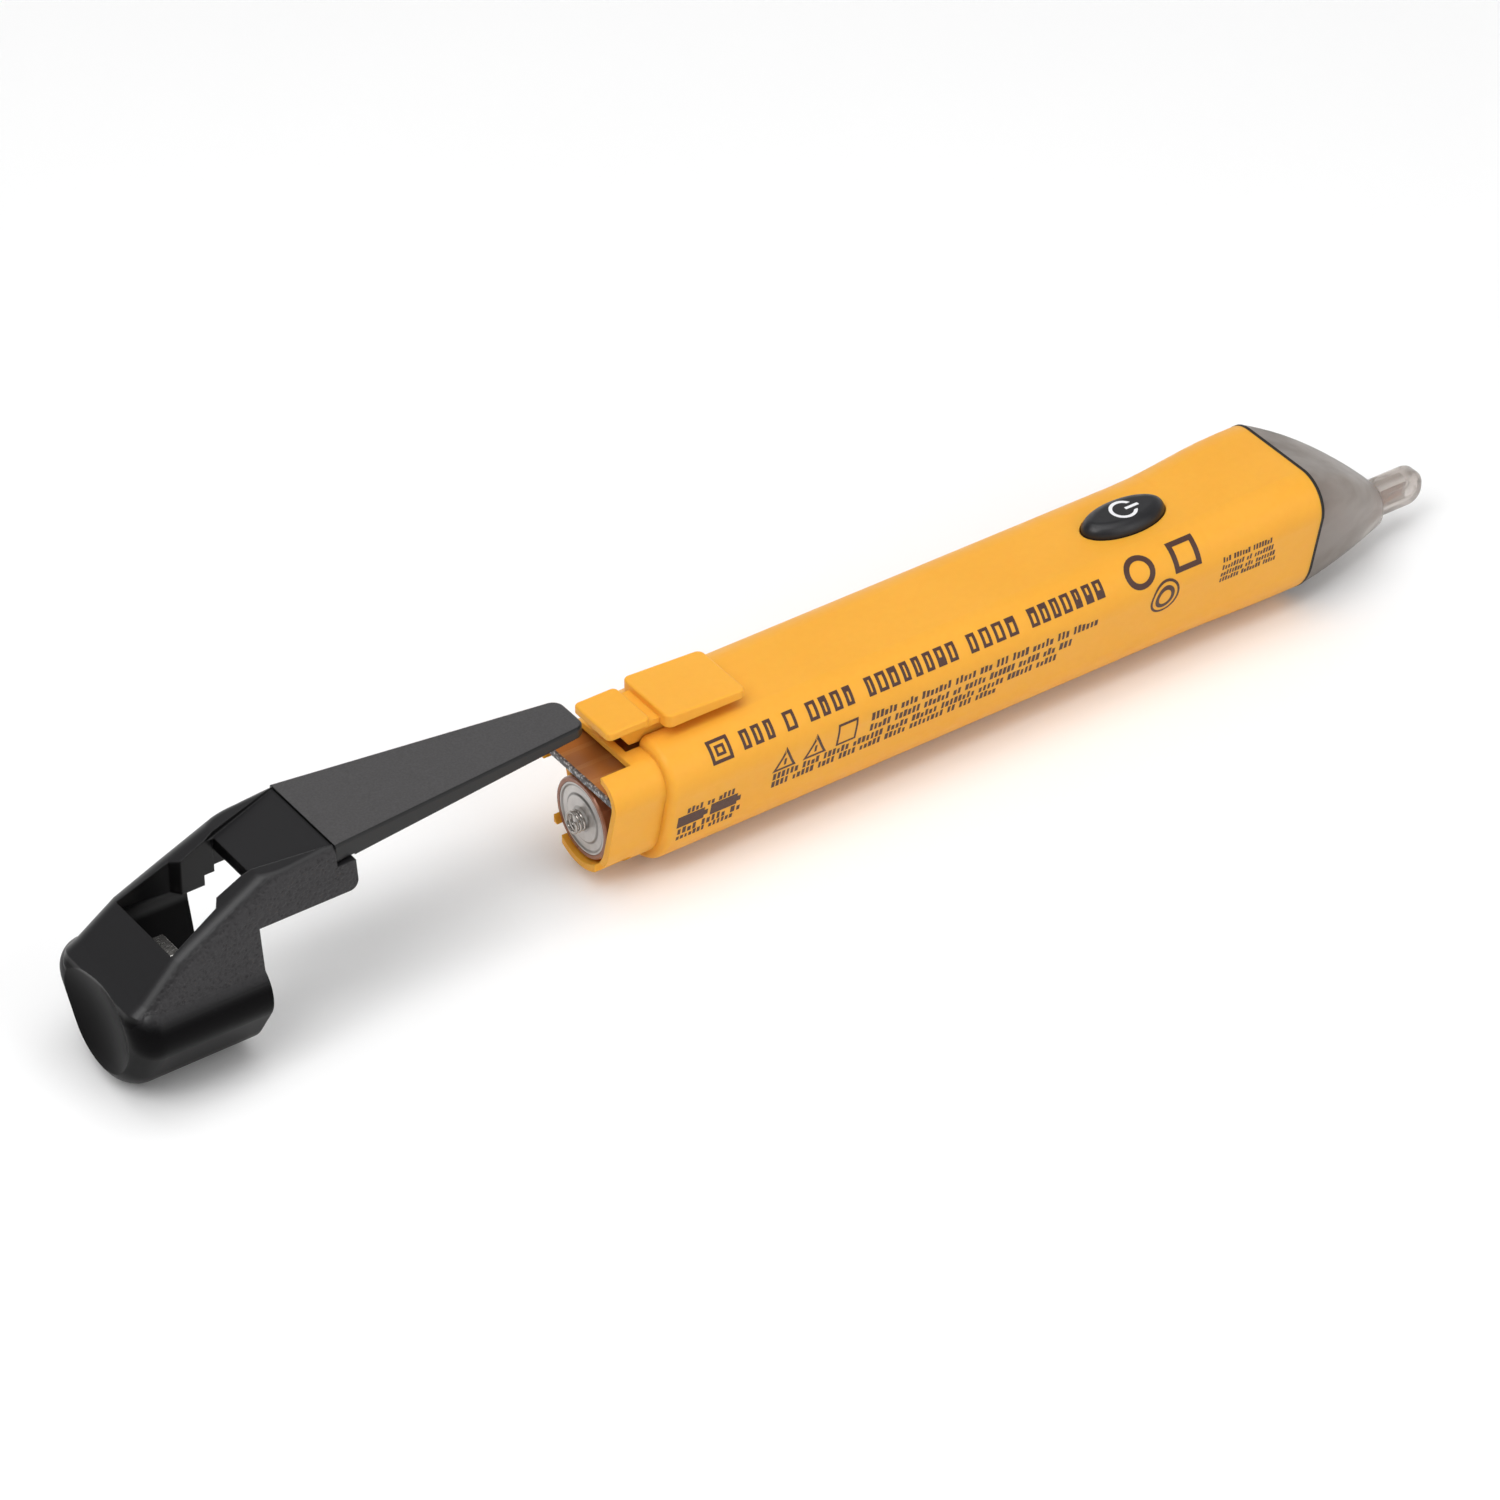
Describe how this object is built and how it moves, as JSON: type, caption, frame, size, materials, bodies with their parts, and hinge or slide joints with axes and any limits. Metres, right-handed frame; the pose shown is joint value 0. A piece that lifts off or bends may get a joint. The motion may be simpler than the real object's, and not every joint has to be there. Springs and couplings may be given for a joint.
{
  "type": "non contact voltage tester",
  "caption": "Pen shaped mains voltage detector with flat sensing nose, power button, release latch and pull-off battery cap with pocket clip.",
  "frame": {"origin": "centre of the sensing tip's end, on the tip's axis", "axes": "+X out of the nose along the pen, +Z out of the button side, +Y completes the set"},
  "size_m": [0.1885, 0.0202, 0.0251],
  "materials": {
    "body_yellow": "satin moulded amber yellow plastic",
    "cap_black": "fine textured black plastic",
    "clip_black": "satin dark grey top, black underneath",
    "nose_smoke": "translucent smoky grey plastic",
    "seal_black": "matt",
    "button_black": "satin silicone rubber",
    "mark_white": "matt white inlay",
    "board_brown": "lacquered fibreglass laminate",
    "component_black": "matt moulded package",
    "plunger_black": "matt",
    "contact_steel": "nickel plated strip and wire",
    "cell_steel": "nickel plated can",
    "cell_copper": "copper coloured metallised sleeve",
    "strip_copper": "bare copper",
    "lamp_red": "red tinted lens",
    "lamp_green": "green tinted lens"
  },
  "bodies": {
    "tester": {"body_tube": "body_yellow", "nose_cone": "nose_smoke", "nose_seal": "seal_black", "button_gasket": "seal_black", "circuit_board": "board_brown", "contact_carrier": "component_black", "board_contact": "contact_steel", "positive_contact": "contact_steel", "tail_spring": "contact_steel", "detector_chip": "component_black", "board_parts": "component_black", "switch_body": "component_black", "buzzer": "component_black", "rear_cell_can": "cell_steel", "front_cell_can": "cell_steel", "rear_cell_jacket": "cell_copper", "front_cell_jacket": "cell_copper", "sensor_strip": "strip_copper", "alert_lamp": "lamp_red", "power_lamp": "lamp_green"},
    "cap": {"cap_shell": "cap_black", "cap_contact": "contact_steel"},
    "clip": {"pocket_clip": "clip_black"},
    "latch": {"release_latch": "body_yellow"},
    "button": {"power_button": "button_black", "button_mark": "mark_white"},
    "plunger": {"switch_plunger": "plunger_black"}
  },
  "joints": [
    {"name": "cap_slide", "type": "slide", "parent": "tester", "child": "cap", "axis": [1, 0, 0], "range_m": [0, 0.054]},
    {"name": "clip_flex", "type": "hinge", "parent": "cap", "child": "clip", "pos_m": [-0.16095, 0, 0.0194], "axis": [0, -1, 0], "range_deg": [0, 5], "stiffness_Nm_per_rad": 2},
    {"name": "latch_tilt", "type": "hinge", "parent": "tester", "child": "latch", "pos_m": [-0.1052, 0, 0.0118], "axis": [0, 1, 0], "range_deg": [-4.5, 4.2], "stiffness_Nm_per_rad": 0.5},
    {"name": "button_press", "type": "slide", "parent": "tester", "child": "button", "axis": [0, 0, -1], "range_m": [0, 0.0008], "stiffness_N_per_m": 2000},
    {"name": "plunger_press", "type": "slide", "parent": "tester", "child": "plunger", "axis": [0, 0, -1], "range_m": [0, 0.00024]}
  ],
  "couplings": [
    {"joint": "plunger_press", "follows": "button_press", "ratio": 0.3}
  ]
}
